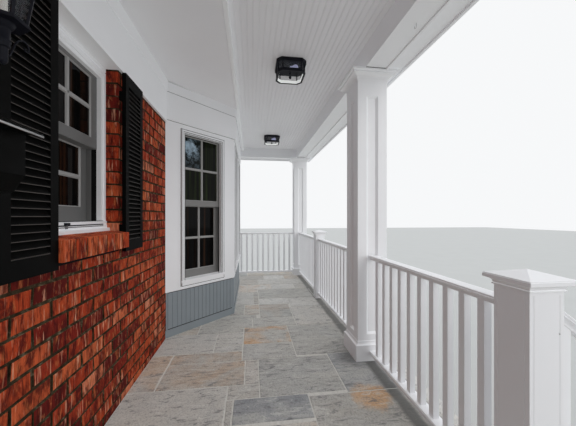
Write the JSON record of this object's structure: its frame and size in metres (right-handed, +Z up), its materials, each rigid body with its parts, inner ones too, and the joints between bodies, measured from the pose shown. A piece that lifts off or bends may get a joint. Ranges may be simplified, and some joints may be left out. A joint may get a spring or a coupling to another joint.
{
  "type": "front porch",
  "caption": "Covered front porch with panelled columns, white railings, steps, stone floor, brick house wall, shuttered window and bay.",
  "frame": {"origin": "middle of the whole footprint, on the ground", "axes": "+X along the porch, -Y towards the street, +Y into the house, +Z up"},
  "size_m": [7.632, 2.923, 3.8918],
  "materials": {
    "white_paint": "satin paint",
    "ceiling_paint": "satin paint, bead board",
    "brick": "fired clay brick with tan mortar",
    "bluestone": "honed flagstone",
    "sash_paint": "grey satin paint",
    "window_glass": "clear",
    "skirt_paint": "blue-grey paint",
    "shutter_black": "black satin paint",
    "black_metal": "black powder coat",
    "roof_shingle": "mineral-faced shingle"
  },
  "bodies": {
    "root": {"foundation": "brick", "stone_floor": "bluestone", "step_base": "brick", "lower_tread": "bluestone", "upper_tread": "bluestone", "near_column": "white_paint", "middle_column": "white_paint", "far_column": "white_paint", "stair_newel": "white_paint", "middle_newel": "white_paint", "left_foot_newel": "white_paint", "right_foot_newel": "white_paint", "near_end_railing": "white_paint", "entry_railing": "white_paint", "middle_railing": "white_paint", "far_railing": "white_paint", "far_end_railing": "white_paint", "left_stair_railing": "white_paint", "right_stair_railing": "white_paint", "front_beam": "white_paint", "near_end_beam": "white_paint", "far_end_beam": "white_paint", "bead_board_ceiling": "ceiling_paint", "house_side_ceiling": "ceiling_paint", "ceiling_trim": "white_paint", "eave_soffit": "white_paint", "fascia": "white_paint", "roof": "roof_shingle", "brick_wall": "brick", "wall_frieze": "white_paint", "window_brick_sill": "brick", "door_frame": "white_paint", "front_door": "shutter_black", "wall_window_frame": "white_paint", "wall_window_sashes": "sash_paint", "wall_window_glass": "window_glass", "near_shutter": "shutter_black", "far_shutter": "shutter_black", "bay_skirt": "skirt_paint", "bay_walls": "white_paint", "bay_cornice": "white_paint", "bay_near_sashes": "sash_paint", "bay_near_glass": "window_glass", "bay_front_sashes": "sash_paint", "bay_front_glass": "window_glass", "bay_far_sashes": "sash_paint", "bay_far_glass": "window_glass", "near_ceiling_light": "black_metal", "far_ceiling_light": "black_metal", "wall_lantern": "black_metal", "mailbox": "black_metal"}
  },
  "joints": []
}
